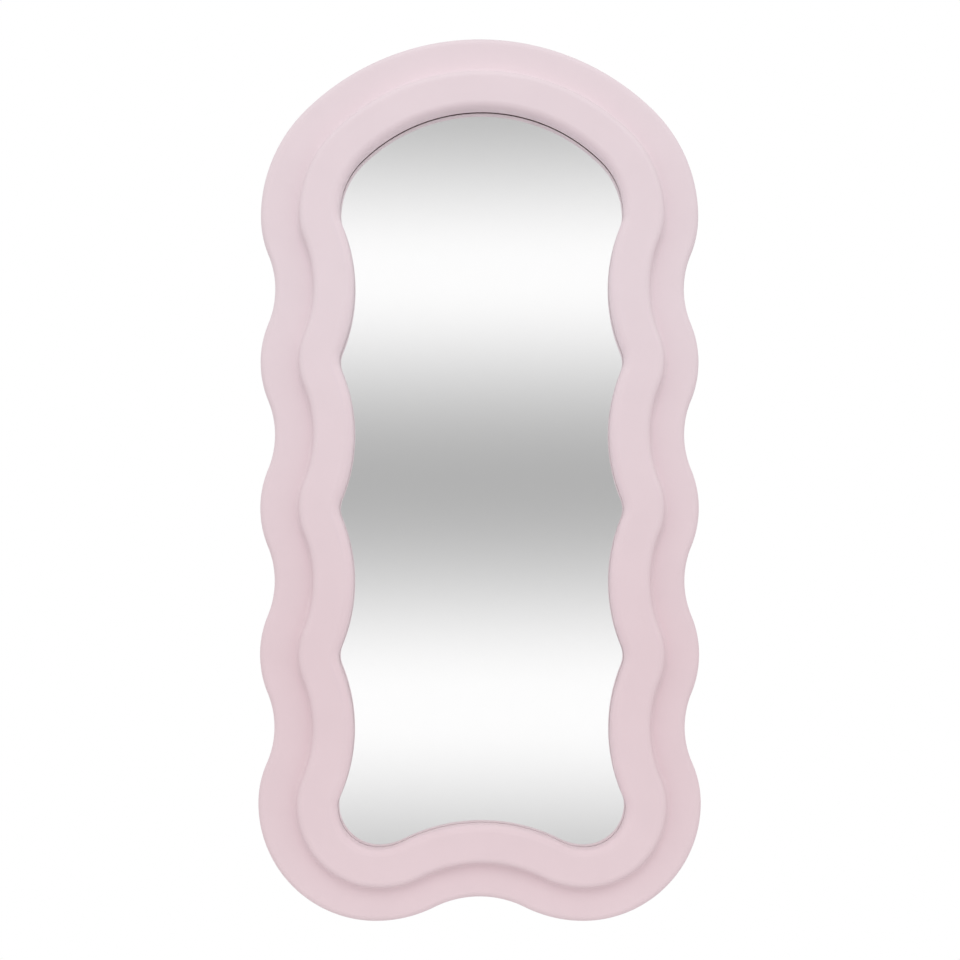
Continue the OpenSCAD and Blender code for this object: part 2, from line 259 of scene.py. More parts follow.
def arc_spot(arc, share, inward):
    """The (x, z) at a share of an arc's length and a distance in from the outer edge."""
    centre_x, centre_z, radius, first, last, side = ARCS[arc]
    angle = math.radians(first + share * (last - first))
    reach = radius - side * inward
    return centre_x + reach * math.cos(angle), FOOT_Z + centre_z + reach * math.sin(angle)


def outline(inward):
    """Points of the whole outline, at a distance in from the outer edge."""
    half = []
    for name, (_, _, radius, first, last, _) in ARCS.items():
        steps = max(2, math.ceil(radius * math.radians(abs(last - first)) / POINT_STEP))
        half += [arc_spot(name, i / steps, inward) for i in range(steps)]
    half.append(arc_spot("hollow", 1, inward))
    return half + [(-x, z) for x, z in half[-2:0:-1]]


def both_sides(spots):
    """The spots of the right half, and their mirror images."""
    return spots + [(-x, z) for x, z in spots]


# Tools that shape a mesh

def only(piece):
    """Makes a piece the one that is selected and active."""
    for thing in bpy.context.selected_objects:
        thing.select_set(False)
    bpy.context.view_layer.objects.active = piece
    piece.select_set(True)


def start(name):
    """Names the primitive that was just added, and opens it with all of it selected."""
    piece = bpy.context.object
    piece.name = piece.data.name = name
    only(piece)
    bpy.ops.object.transform_apply(location=True, rotation=True, scale=True)
    bpy.ops.object.mode_set(mode="EDIT")
    bpy.ops.mesh.select_mode(type="FACE")
    bpy.ops.mesh.select_all(action="SELECT")
    return piece


def pick(piece, kind, test):
    """Selects only the faces or edges that pass a test."""
    bpy.ops.mesh.select_mode(type={"faces": "FACE", "edges": "EDGE"}[kind])
    bpy.ops.mesh.select_all(action="DESELECT")
    mesh = bmesh.from_edit_mesh(piece.data)
    for part in getattr(mesh, kind):
        if test(part):
            part.select_set(True)
    mesh.select_flush_mode()
    bmesh.update_edit_mesh(piece.data)


def apply_modifiers(piece):
    """Makes the modifiers of a piece part of its mesh."""
    only(piece)
    for modifier in list(piece.modifiers):
        bpy.ops.object.modifier_apply(modifier=modifier.name)


def settle(piece, angle=SMOOTH_ANGLE):
    """Closes doubles, turns the faces outward and smooths the rounds."""
    only(piece)
    bpy.ops.object.mode_set(mode="EDIT")
    bpy.ops.mesh.select_all(action="SELECT")
    bpy.ops.mesh.remove_doubles(threshold=MERGE_GAP)
    bpy.ops.mesh.normals_make_consistent(inside=False)
    bpy.ops.object.mode_set(mode="OBJECT")
    bpy.ops.object.shade_smooth_by_angle(angle=math.radians(angle))
    piece.select_set(False)
    return piece


def carve(piece, cutter):
    """Cuts one piece out of another and throws the cutter away."""
    cut = piece.modifiers.new("cut", "BOOLEAN")
    cut.operation = "DIFFERENCE"
    cut.solver = "EXACT"
    cut.object = cutter
    apply_modifiers(piece)
    bpy.data.objects.remove(cutter)


def join(name, pieces):
    """Joins pieces into one mesh."""
    only(pieces[0])
    for piece in pieces:
        piece.select_set(True)
    bpy.ops.object.join()
    joined = bpy.context.object
    joined.name = joined.data.name = name
    return joined


def copies(name, piece, spots, turn=0):
    """Copies a piece to each (x, y, z), each one turned a little further, and joins the copies."""
    made = []
    for i, spot in enumerate(spots):
        copy = bpy.data.objects.new(name, piece.data.copy())
        bpy.context.scene.collection.objects.link(copy)
        copy.data.transform(Matrix.Translation(spot) @ Matrix.Rotation(math.radians(i * turn), 4, "Y"))
        made.append(copy)
    bpy.data.objects.remove(piece)
    return join(name, made)


def hand_over(piece, body, slot, nodes, *finishes):
    """Gives a finished piece its materials and its body, and hides the nodes it stands for. The record slot
    is not used.
    """
    for finish in finishes:
        piece.data.materials.append(finish)
    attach(piece, body)
    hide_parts(*nodes)


# Boards and sheets that follow the outline: one face is drawn and inset from depth to depth

BEVEL_WEIGHT = "bevel_weight_edge"


def weigh(piece, radius, chosen):
    """Marks edges with the radius that they will be rounded to."""
    mesh = bmesh.from_edit_mesh(piece.data)
    weight = mesh.edges.layers.float.get(BEVEL_WEIGHT)
    for edge in mesh.edges:
        if chosen(edge):
            edge[weight] = radius / LIP_ROUND
    bmesh.update_edit_mesh(piece.data)


def is_big(face):
    """Whether a face has the shape of the outline, and isn't one of the small ones in its walls."""
    return len(face.verts) > 4


def weigh_rim(piece, radius):
    """Marks the rim of the selected face."""
    weigh(piece, radius, lambda edge: any(face.select and is_big(face) for face in edge.link_faces))


def outline_face(name, inset_by, y, radius=0):
    """One flat face of the outline's shape, open for editing."""
    points = outline(inset_by)
    bpy.ops.mesh.primitive_circle_add(vertices=len(points), radius=BODY_W / 2, fill_type="NGON")
    disc = bpy.context.object.data
    for vert, (x, z) in zip(disc.vertices, points):
        vert.co = (x, y, z)
    disc.attributes.new(BEVEL_WEIGHT, "FLOAT", "EDGE")
    piece = start(name)
    weigh_rim(piece, radius)
    return piece


def draw(piece, to_y, from_y, radius=0):
    """Draws the selected face to another depth, with a wall behind it."""
    bpy.ops.mesh.extrude_region_move(TRANSFORM_OT_translate={"value": (0, to_y - from_y, 0)})
    weigh_rim(piece, radius)


def inset(piece, width, radius=0):
    """Draws the selected face in by a width, all round."""
    bpy.ops.mesh.inset(thickness=width, use_even_offset=True, use_boundary=True)
    weigh_rim(piece, radius)


def stretch_opening():
    """Makes the selected face of the opening a little taller and moves it to the right."""
    middle = (arc_spot("top", 0, FRAME_W)[1] + arc_spot("hollow", 1, FRAME_W)[1]) / 2
    bpy.ops.transform.resize(value=OPENING_STRETCH, center_override=(0, 0, middle))
    bpy.ops.transform.translate(value=(RING_SHIFT, 0, 0))


def stretch_ring_edge():
    """Makes all but the selected face a little narrower and moves it to the right."""
    bpy.ops.mesh.select_mode(type="VERT")
    bpy.ops.mesh.select_all(action="INVERT")
    bpy.ops.transform.resize(value=RING_STRETCH, center_override=(0, 0, 0))
    bpy.ops.transform.translate(value=(RING_SHIFT, 0, 0))
    bpy.ops.mesh.select_all(action="INVERT")
    bpy.ops.mesh.select_mode(type="FACE")


def paint_open_face(piece, slot_number):
    """Gives the selected face a material slot, which the walls drawn from it then take."""
    mesh = bmesh.from_edit_mesh(piece.data)
    for face in mesh.faces:
        if face.select:
            face.material_index = slot_number
    bmesh.update_edit_mesh(piece.data)


def drop_open_face(piece):
    """Takes out the faces with the outline's shape, which leaves the piece open."""
    pick(piece, "faces", is_big)
    bpy.ops.mesh.delete(type="ONLY_FACE")


def bridge_open_loops(piece):
    """Closes a piece between its two open edges."""
    pick(piece, "edges", lambda edge: edge.is_boundary)
    bpy.ops.mesh.bridge_edge_loops()


def round_marked(piece, steps):
    """Rounds each marked edge by its own radius."""
    bpy.ops.object.mode_set(mode="OBJECT")
    bevel = piece.modifiers.new("rounds", "BEVEL")
    bevel.limit_method = "WEIGHT"
    bevel.width = LIP_ROUND
    bevel.segments = steps
    bevel.use_clamp_overlap = False
    apply_modifiers(piece)


def flatten_shading(piece):
    """Keeps the light flat on the big faces, so that only the rounds turn it."""
    weighted = piece.modifiers.new("flat faces", "WEIGHTED_NORMAL")
    weighted.keep_sharp = True
    apply_modifiers(piece)
    return piece


def front_ring():
    """The raised ring, with the filler that softens the corner where it stands on the ledge."""
    piece = outline_face("front_ring_lacquered", LEDGE_W - FILLER_COVE, JOINT_Y)
    inset(piece, FILLER_COVE, radius=FILLER_COVE)
    draw(piece, FRONT_Y, JOINT_Y, radius=RING_ROUND)
    inset(piece, RING_W, radius=LIP_ROUND)
    stretch_opening()
    stretch_ring_edge()
    draw(piece, JOINT_Y, FRONT_Y)
    drop_open_face(piece)
    bridge_open_loops(piece)
    round_marked(piece, ROUND_STEPS)
    return flatten_shading(settle(piece))


def rear_board():
    """The rear board: the low ledge in front, the rebates for the back board and the glass behind."""
    piece = outline_face("rear_board_lacquered", 0, BACK_Y, radius=BACK_ROUND)
    inset(piece, BOARD_REBATE)
    paint_open_face(piece, 1)
    draw(piece, PANEL_FRONT_Y, BACK_Y)
    inset(piece, GLASS_REBATE - BOARD_REBATE)
    draw(piece, LIP_BACK_Y, PANEL_FRONT_Y)
    paint_open_face(piece, 0)
    inset(piece, FRAME_W - GLASS_REBATE)
    stretch_opening()
    draw(piece, JOINT_Y, LIP_BACK_Y)
    drop_open_face(piece)
    pick(piece, "edges", lambda edge: edge.is_boundary and edge.verts[0].co.y > PANEL_FRONT_Y)
    bpy.ops.mesh.extrude_edges_move(TRANSFORM_OT_translate={"value": (0, JOINT_Y - BACK_Y, 0)})
    weigh(piece, LEDGE_ROUND, lambda edge: edge.select)
    bridge_open_loops(piece)
    round_marked(piece, ROUND_STEPS)
    settle(piece)
    countersink = turned("countersinks", COUNTERSINK_SIDES, [
        (RING_SCREW_D / 2, -RING_HEAD_T - RING_HEAD_SINK),
        (RING_HEAD_D / 2 + RING_HEAD_SINK, 0),
        (RING_HEAD_D / 2 + RING_HEAD_SINK, RING_HEAD_T),
    ])
    carve(piece, copies("countersinks", countersink, ring_screw_spots(BACK_Y)))
    return flatten_shading(settle(piece))


def mirror_pane():
    """The glass, with its silvering as its back face, a hair in front of the film.

    The renderer leaves out the light that a mirror throws on its lip, so the pane takes none away.
    """
    back = GLASS_BACK_Y - SILVER_GAP
    piece = outline_face("mirror_pane", GLASS_REBATE + EDGE_GAP, back, radius=GLASS_ARRIS)
    draw(piece, GLASS_FRONT_Y, back, radius=GLASS_ARRIS)
    round_marked(piece, ARRIS_STEPS)
    settle(piece, SHEET_SMOOTH_ANGLE)
    for face in piece.data.polygons:
        if face.center.y > back - GLASS_ARRIS / 2:
            face.material_index = 1
    piece.visible_diffuse = False
    piece.visible_shadow = False
    return piece


def bedding_tape():
    """The strip of foam tape between the lip and the glass, laid a little low so that its dark edge shows as
    a painted shadow line under the top of the lip.
    """
    piece = outline_face("bedding_tape_strip", FRAME_W - TAPE_SETBACK - TAPE_W, GLASS_FRONT_Y)
    stretch_opening()
    # Laid low: its dark edge shows as a painted shadow line under the top of the lip
    bpy.ops.transform.translate(value=(0, 0, -TAPE_DROP_FOR_PAINTED_SHADOW))
    inset(piece, TAPE_W)
    drop_open_face(piece)
    bpy.ops.mesh.select_all(action="SELECT")
    tape_t = GLASS_FRONT_Y - LIP_BACK_Y
    bpy.ops.mesh.extrude_region_move(TRANSFORM_OT_translate={"value": (0, -tape_t, 0)})
    bpy.ops.object.mode_set(mode="OBJECT")
    return settle(piece)


def back_panel():
    """The hardboard panel that closes the back."""
    piece = outline_face("back_panel", BOARD_REBATE + EDGE_GAP, PANEL_FRONT_Y, radius=PANEL_ARRIS)
    draw(piece, PANEL_BACK_Y, PANEL_FRONT_Y, radius=PANEL_ARRIS)
    round_marked(piece, ARRIS_STEPS)
    return settle(piece, SHEET_SMOOTH_ANGLE)


# Screws and bumpers, turned about an axis along Y

def turned(name, sides, profile):
    """A round piece, drawn up from a disc by one extrude and one scale for each (radius, y)."""
    radius, y = profile[0]
    bpy.ops.mesh.primitive_circle_add(
        vertices=sides, radius=radius, fill_type="NGON", location=(0, y, 0), rotation=(math.pi / 2, 0, 0)
    )
    piece = start(name)
    for next_radius, next_y in profile[1:]:
        bpy.ops.mesh.extrude_region_move(TRANSFORM_OT_translate={"value": (0, next_y - y, 0)})
        bpy.ops.transform.resize(value=(next_radius / radius,) * 3, center_override=(0, next_y, 0))
        radius, y = next_radius, next_y
    bpy.ops.object.mode_set(mode="OBJECT")
    return settle(piece)


def cross_cutter(top_y):
    """Two crossed blades that narrow downward, as the tip of a cross driver does."""
    blades = []
    for turn in (0, math.pi / 2):
        bpy.ops.mesh.primitive_cube_add(size=1, location=(0, top_y, 0), rotation=(0, turn, 0),
                                        scale=(CROSS_LEN, 2 * CROSS_DEPTH, CROSS_W))
        blade = start("cross")
        pick(blade, "faces", lambda face: face.normal.y < -0.5)
        bpy.ops.transform.resize(value=(CROSS_TAPER, 1, CROSS_TAPER),
                                 center_override=(0, top_y - CROSS_DEPTH, 0))
        bpy.ops.object.mode_set(mode="OBJECT")
        blades.append(blade)
    return blades


def screw(name, stem, head, top_y):
    """A screw with a cross in the top of its head."""
    piece = turned(name, SCREW_SIDES, stem + head)
    for blade in cross_cutter(top_y):
        carve(piece, blade)
    return settle(piece, SCREW_SMOOTH_ANGLE)


def shank(diameter, length):
    """The profile of a screw from its point up."""
    return [
        (POINT_D / 2, -length),
        (diameter / 2, POINT_LEN - length),
    ]


def ring_screw_spots(y):
    """Where screws clamp the ring: at the top and foot, on the shoulders and lobes, and at each bulge."""
    middle = [arc_spot("top", 0, RING_SCREW_LINE), arc_spot("hollow", 1, RING_SCREW_LINE)]
    right = [arc_spot("shoulder", 0, RING_SCREW_LINE), arc_spot("lobe", 0.5, RING_SCREW_LINE)]
    right += [arc_spot(f"bulge {k}", 0, RING_SCREW_LINE) for k in range(WAVE_COUNT + 1)]
    return [(x, y, z) for x, z in middle + both_sides(right)]


def panel_screw_spots(y):
    """Where screws hold the back panel: round the arch, at each valley and at the foot."""
    right = [arc_spot("top", 0.5, PANEL_SCREW_LINE), arc_spot("shoulder", 0.5, PANEL_SCREW_LINE)]
    right += [arc_spot(f"valley {k}", 1, PANEL_SCREW_LINE) for k in range(WAVE_COUNT + 1)]
    right.append(arc_spot("lobe", 0.4, PANEL_SCREW_LINE))
    return [(x, y, z) for x, z in [arc_spot("hollow", 1, PANEL_SCREW_LINE)] + both_sides(right)]


def ring_screw():
    """A countersunk screw, sunk a little below the back of the frame."""
    wide = RING_HEAD_D / 2
    head = [
        (RING_SCREW_D / 2, -RING_HEAD_T),
        (0.97 * wide, -RING_HEAD_SINK - 2 * HEAD_EDGE),
        (wide, -RING_HEAD_SINK - HEAD_EDGE),
        (0.98 * wide, -RING_HEAD_SINK),
    ]
    return screw("ring_screw", shank(RING_SCREW_D, RING_SCREW_LEN), head, -RING_HEAD_SINK)


def pan_screw():
    """A small screw with a domed head, its seat at y = 0."""
    wide, flat = SMALL_HEAD_D / 2, SMALL_HEAD_FACE_D / 2
    half = SMALL_HEAD_T / 2
    dome = [
        (flat + (wide - flat) * math.cos(math.radians(rise)), half + half * math.sin(math.radians(rise)))
        for rise in DOME_ANGLES
    ]
    head = [(SMALL_SCREW_D / 2, 0), (0.95 * wide, 0), (wide, HEAD_EDGE)] + dome
    return screw("pan_screw", shank(SMALL_SCREW_D, SMALL_SCREW_LEN), head, SMALL_HEAD_T)


def bumper(name, room):
    """A moulded pad with a soft edge and a shallow dish in its face, in the room of its solid."""
    low, high = room
    middle = (low + high) / 2
    base, face = (high.x - low.x) / 2, BUMPER_FACE_R
    height = high.y - low.y
    skirt = [(0.985 * base, 0), (base, 0.0002), (0.99 * base, 0.0006)]
    edge = [
        (face + 0.0003, height - 0.0011), (face, height - 0.0006),
        (face - 0.0003, height - 0.00025), (face - BUMPER_ROUND, height),
    ]
    dish = [
        (0.62 * face, height), (0.57 * face, height - 0.0002), (0.52 * face, height - 0.0006),
        (0.4 * face, height - BUMPER_DISH), (0.02 * face, height - BUMPER_DISH),
    ]
    piece = turned(name, BUMPER_SIDES, skirt + edge + dish)
    piece.data.transform(Matrix.Translation((middle.x, low.y, middle.z)))
    return piece


# Hangers

def hanger_strap(name, hinge):
    """A steel strap that lies on the frame and is rolled round the wire at its upper end.

    Its section is spun round the wire, and its first face is then drawn down to the lower end.
    """
    plate_len = hinge.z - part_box(name.replace("strap", "plate"))[0].z
    section = (hinge.x, BACK_Y + PLATE_T / 2, hinge.z)
    bpy.ops.mesh.primitive_plane_add(size=1, location=section)
    piece = start(name)
    bpy.ops.transform.resize(value=(PLATE_W, PLATE_T, 1), center_override=section)
    bpy.ops.mesh.spin(steps=ROLL_STEPS, angle=math.radians(ROLL_ANGLE), center=hinge, axis=(1, 0, 0))
    pick(piece, "faces", lambda face: (face.calc_center_median() - Vector(section)).length < NEAR)
    bpy.ops.mesh.extrude_region_move(TRANSFORM_OT_translate={"value": (0, 0, -plate_len)})
    pick(piece, "edges", lambda edge: all(v.co.z < hinge.z - plate_len + NEAR for v in edge.verts)
         and abs(edge.verts[0].co.x - edge.verts[1].co.x) < NEAR)
    bpy.ops.mesh.bevel(offset=PLATE_END_SHARE * PLATE_W, segments=PLATE_END_STEPS, affect="EDGES")
    bpy.ops.object.mode_set(mode="OBJECT")
    arris = piece.modifiers.new("arris", "BEVEL")
    arris.limit_method = "ANGLE"
    arris.angle_limit = math.radians(PLATE_ARRIS_ANGLE)
    arris.width = PLATE_ARRIS
    arris.segments = ARRIS_STEPS
    apply_modifiers(piece)
    return settle(piece)


def hanger_wire(name, hinge):
    """The D-shaped ring of wire, bent round from the middle of its bar, where its ends meet."""
    bar = RING_HALF_W - RING_CORNER_R
    leg = RING_LOOP_H - RING_HALF_W - RING_CORNER_R
    bpy.ops.mesh.primitive_circle_add(vertices=WIRE_SIDES, radius=WIRE_R, fill_type="NGON",
                                      location=hinge + Vector((WIRE_END_GAP, 0, 0)),
                                      rotation=(0, math.pi / 2, 0))
    piece = start(name)

    def run(x, z):
        bpy.ops.mesh.extrude_region_move(TRANSFORM_OT_translate={"value": (x, 0, z)})

    def bend(x, z, angle, steps):
        centre = hinge + Vector((x, 0, z))
        bpy.ops.mesh.spin(steps=steps, angle=math.radians(angle), center=centre, axis=(0, -1, 0))

    run(bar - WIRE_END_GAP, 0)
    bend(bar, -RING_CORNER_R, 90, CORNER_STEPS)
    run(0, -leg)
    bend(0, -RING_CORNER_R - leg, 180, BOW_STEPS)
    run(0, leg)
    bend(-bar, -RING_CORNER_R, 90, CORNER_STEPS)
    run(bar - WIRE_END_GAP, 0)
    bpy.ops.object.mode_set(mode="OBJECT")
    return settle(piece)


# Finishes: each is a colour, a roughness, and noise that varies them and raises the surface

LACQUER_PINK = (237, 219, 224)
# Painted shade and painted light: the lacquer turns darker and pinker toward the foot and paler toward the
# top, where the light falls
LACQUER_PAINTED_SHADE_AT_FOOT = (0.96, 0.926, 0.927)
LACQUER_PAINTED_LIGHT_AT_TOP = (0.994, 1.021, 1.021)
DARKEST_AT, PALEST_AT = 0.3, 0.7
WEAVE_BANDS = 140.0
FOAM_CELLS = 700.0


class Finish:
    """A material with a shader, and the few nodes that give it detail."""

    def __init__(self, name, colour, roughness, metallic=0.0, **sockets):
        self.material = bpy.data.materials.new(name)
        self.material.use_nodes = True
        self.tree = self.material.node_tree
        self.shader = self.tree.nodes["Principled BSDF"]
        self.colour = colour
        self.shader.inputs["Base Color"].default_value = (*colour, 1)
        self.shader.inputs["Roughness"].default_value = roughness
        self.shader.inputs["Metallic"].default_value = metallic
        for key, value in sockets.items():
            self.shader.inputs[key.replace("_", " ")].default_value = value
        self.place = self.add("ShaderNodeTexCoord").outputs["Object"]

    def add(self, kind, **settings):
        """Adds a node and sets its sockets, or else its properties, by their names."""
        node = self.tree.nodes.new(kind)
        for key, value in settings.items():
            socket = key.replace("_", " ")
            if socket in node.inputs:
                node.inputs[socket].default_value = value
            else:
                setattr(node, key, value)
        return node

    def link(self, output, target):
        self.tree.links.new(output, target)

    def stretched(self, scale):
        """Places in which a pattern comes out stretched."""
        mapping = self.add("ShaderNodeMapping", Scale=scale)
        self.link(self.place, mapping.inputs["Vector"])
        return mapping.outputs["Vector"]

    def remapped(self, value, **limits):
        """A value moved from one range to another."""
        node = self.add("ShaderNodeMapRange", **limits)
        self.link(value, node.inputs["Value"])
        return node.outputs["Result"]

    def noise(self, size, detail=3.0, place=None):
        """Noise whose lumps are about size metres across."""
        node = self.add("ShaderNodeTexNoise", Scale=1 / size, Detail=detail)
        self.link(place or self.place, node.inputs["Vector"])
        return node.outputs["Fac"]

    def vary(self, value, dark, pale):
        """Multiplies the colour by a shade that goes from dark to pale with a value."""
        ramp = self.add("ShaderNodeValToRGB")
        ends = zip(ramp.color_ramp.elements, (DARKEST_AT, PALEST_AT), (dark, pale))
        for stop, place, shade in ends:
            stop.position = place
            stop.color = (*shade, 1) if isinstance(shade, tuple) else (shade, shade, shade, 1)
        self.link(value, ramp.inputs["Fac"])
        mix = self.add("ShaderNodeMixRGB", blend_type="MULTIPLY", Fac=1.0, Color1=(*self.colour, 1))
        base = self.shader.inputs["Base Color"]
        if base.is_linked:
            self.link(base.links[0].from_socket, mix.inputs["Color1"])
        self.link(ramp.outputs["Color"], mix.inputs["Color2"])
        self.link(mix.outputs["Color"], base)

    def height(self):
        """From 0 at the foot of the frame to 1 at its top."""
        parts = self.add("ShaderNodeSeparateXYZ")
        self.link(self.place, parts.inputs["Vector"])
        return self.remapped(parts.outputs["Z"], From_Min=FOOT_Z, From_Max=FRAME_TOP)

    def gloss(self, value, low, high):
        """Makes the roughness go from low to high with a value."""
        self.link(self.remapped(value, To_Min=low, To_Max=high), self.shader.inputs["Roughness"])

    def bump(self, *layers):
        """Raises the surface by each (value, height in metres)."""
        normal = None
        for value, height in layers:
            node = self.add("ShaderNodeBump", Strength=1.0, Distance=height)
            self.link(value, node.inputs["Height"])
            if normal:
                self.link(normal, node.inputs["Normal"])
            normal = node.outputs["Normal"]
        self.link(normal, self.shader.inputs["Normal"])


def srgb(*levels):
    """A colour given as it shows on a screen, 0 to 255, turned into light."""
    return tuple(((v / 255 + 0.055) / 1.055) ** 2.4 for v in levels)


def lacquer():
    """Pale pink lacquer, with painted shade that darkens and deepens it toward the foot and painted light
    that pales it toward the top.
    """
    finish = Finish("pink lacquer", srgb(*LACQUER_PINK), 0.5, Specular_IOR_Level=0.35)
    finish.vary(finish.noise(0.05), 0.988, 1.01)
    # Painted shade toward the foot, painted light toward the top
    finish.vary(finish.height(), LACQUER_PAINTED_SHADE_AT_FOOT, LACQUER_PAINTED_LIGHT_AT_TOP)
    finish.gloss(finish.noise(0.02, 4), 0.46, 0.56)
    finish.bump((finish.noise(0.0022, 2), 0.00001), (finish.noise(0.03, 1), 0.00004))
    return finish.material


def raw_board():
    """The routed walls of the rebates, which are left bare."""
    finish = Finish("bare fibreboard", (0.42, 0.29, 0.18), 0.85)
    finish.vary(finish.noise(0.0006, 6), 0.82, 1.12)
    finish.bump((finish.noise(0.0005, 4), 0.00008))
    return finish.material


def hardboard():
    """Brown board with fibres that lie both ways and the weave of the press on its back."""
    finish = Finish("hardboard", (0.17, 0.095, 0.052), 0.72)
    for lie in ((1.0, 1.0, 0.35), (0.35, 1.0, 1.0)):
        finish.vary(finish.noise(0.0006, 3, finish.stretched(lie)), 0.8, 1.22)
    finish.vary(finish.noise(0.005, 4), 0.88, 1.08)
    finish.vary(finish.noise(0.09, 2), 0.93, 1.04)
    finish.gloss(finish.noise(0.004, 5), 0.6, 0.82)
    weave = []
    for direction in ("X", "Z"):
        wave = finish.add("ShaderNodeTexWave", Scale=WEAVE_BANDS, bands_direction=direction)
        finish.link(finish.place, wave.inputs["Vector"])
        weave.append((wave.outputs["Fac"], 0.00012))
    finish.bump(*weave, (finish.noise(0.0008, 5), 0.00008))
    return finish.material


def zinc():
    finish = Finish("zinc plating", (0.62, 0.63, 0.65), 0.36, metallic=1.0)
    finish.vary(finish.noise(0.0012, 5), 0.9, 1.06)
    finish.gloss(finish.noise(0.0008, 4), 0.24, 0.42)
    finish.bump((finish.noise(0.0004, 3), 0.00001))
    return finish.material


def ring_wire():
    finish = Finish("nickel wire", (0.70, 0.69, 0.67), 0.22, metallic=1.0)
    finish.vary(finish.noise(0.002, 3), 0.9, 1.06)
    finish.gloss(finish.noise(0.0006, 3, finish.stretched((1.0, 6.0, 1.0))), 0.16, 0.32)
    return finish.material


def rubber():
    finish = Finish("clear rubber", (0.60, 0.60, 0.575), 0.42, Subsurface_Weight=0.12,
                    Subsurface_Scale=0.001)
    finish.vary(finish.noise(0.0015, 4), 0.96, 1.02)
    finish.gloss(finish.noise(0.0005, 3), 0.34, 0.5)
    finish.bump((finish.noise(0.0003, 3), 0.000006))
    return finish.material


def glass():
    finish = Finish("float glass", (0.993, 0.997, 0.995), 0.0, Transmission_Weight=1.0, IOR=1.52)
    finish.vary(finish.noise(0.4, 1), 0.997, 1.0)
    return finish.material


def silver():
    finish = Finish("silvering", (0.87, 0.865, 0.867), 0.0, metallic=1.0)
    finish.vary(finish.noise(0.3, 1), 0.997, 1.003)
    return finish.material


def tape():
    # The tape's own dark colour, tinted pinkish brown as painted shade: the hue of the shadowed gap between
    # the lip and the glass
    finish = Finish("foam tape", (0.14, 0.09, 0.095), 0.9)
    finish.vary(finish.noise(0.0005, 4), 0.6, 1.5)
    finish.bump((finish.noise(0.0004, 3), 0.00006))
    return finish.material


def film():
    # Paler than the film's own tone, as painted light: its bounce through the pane, which soft light passes,
    # stands in for the light the mirror throws back on the lip
    finish = Finish("safety film", (0.93, 0.94, 0.95), 0.35)
    finish.vary(finish.noise(0.02, 3), 0.97, 1.02)
    finish.bump((finish.noise(0.004, 2), 0.00002))
    return finish.material


def foam():
    finish = Finish("packing foam", (0.83, 0.83, 0.82), 0.95)
    cells = finish.add("ShaderNodeTexVoronoi", Scale=FOAM_CELLS)
    finish.link(finish.place, cells.inputs["Vector"])
    finish.vary(cells.outputs["Distance"], 0.92, 1.05)
    finish.bump((cells.outputs["Distance"], 0.0002))
    return finish.material


# The studio: camera and floor

CAMERA_X = 0.0005
CAMERA_Z = -0.377
CAMERA_DISTANCE = 2.4
CAMERA_PITCH = 1.14
CAMERA_LENS = 78.86
CAMERA_SHIFT = 0.04
FLOOR_DROP = 0.36
FLOOR_R = 1.25
FLOOR_SIDES = 96
FLOOR_FADE = 0.45

# Lamps: places, sizes and powers
LAMP_SIZE = (1.6, 1.6)
KEY_SPOT = (0, -2.4, 1.2)
KEY_POWER = 14
BACK_SPOT = (0.6, 1.9, 1.2)
BACK_POWER = 8
GLASS_LAMP_SIZE = (0.34, 0.88)
GLASS_LAMP_POWER = 0.205

# What the glass shows: how high each band stands above the horizon, in degrees, and how pale it is
BANDS = [
    (-50, 0.62), (-20, 0.95), (-9.9, 0.735), (-4.3, 1.018), (-3.7, 1.018), (2.2, 0.718), (7.6, 1.015),
    (8.0, 1.015), (13.4, 0.715), (20, 0.95), (45, 0.8),
]
BAND_GAMMA = 2.27
BAND_STRENGTH = 1.095

# How strong the soft light is from straight below (-1) to straight above (1), a little pink from below
SKY = [
    (-1, (0.15, 0.12, 0.128)), (-0.3, (0.56, 0.485, 0.505)), (0, (1.03, 1.03, 1.03)),
    (0.3, (1.103, 1.107, 1.105)), (1, (0.615, 0.618, 0.616)),
]
SKY_STRENGTH = 0.965


def camera():
    """In front of the mirror, a little below its middle, and aimed slightly up, as the photo was taken."""
    bpy.ops.object.camera_add(location=(CAMERA_X, -CAMERA_DISTANCE, CAMERA_Z),
                              rotation=(math.radians(90 + CAMERA_PITCH), 0, 0))
    lens = bpy.context.object
    lens.name = "camera"
    lens.data.lens = CAMERA_LENS
    lens.data.shift_y = CAMERA_SHIFT
    bpy.context.scene.camera = lens


def floor():
    """A plain pale disc whose rim fades away."""
    bpy.ops.mesh.primitive_circle_add(vertices=FLOOR_SIDES, radius=FLOOR_R, fill_type="NGON",
                                      location=(0, 0, FOOT_Z - FLOOR_DROP))
    disc = start("floor")
    bpy.ops.object.mode_set(mode="OBJECT")
    finish = Finish("floor", (0.86, 0.86, 0.86), 0.9)
    finish.vary(finish.noise(0.1), 0.99, 1.0)
    centred = finish.add("ShaderNodeMapping", Scale=(1 / FLOOR_R, 1 / FLOOR_R, 0))
    finish.link(finish.place, centred.inputs["Vector"])
    from_rim = finish.add("ShaderNodeTexGradient", gradient_type="SPHERICAL")
    finish.link(centred.outputs["Vector"], from_rim.inputs["Vector"])
    fade = finish.remapped(from_rim.outputs["Fac"], From_Max=FLOOR_FADE)
    finish.link(fade, finish.shader.inputs["Alpha"])
    disc.data.materials.append(finish.material)


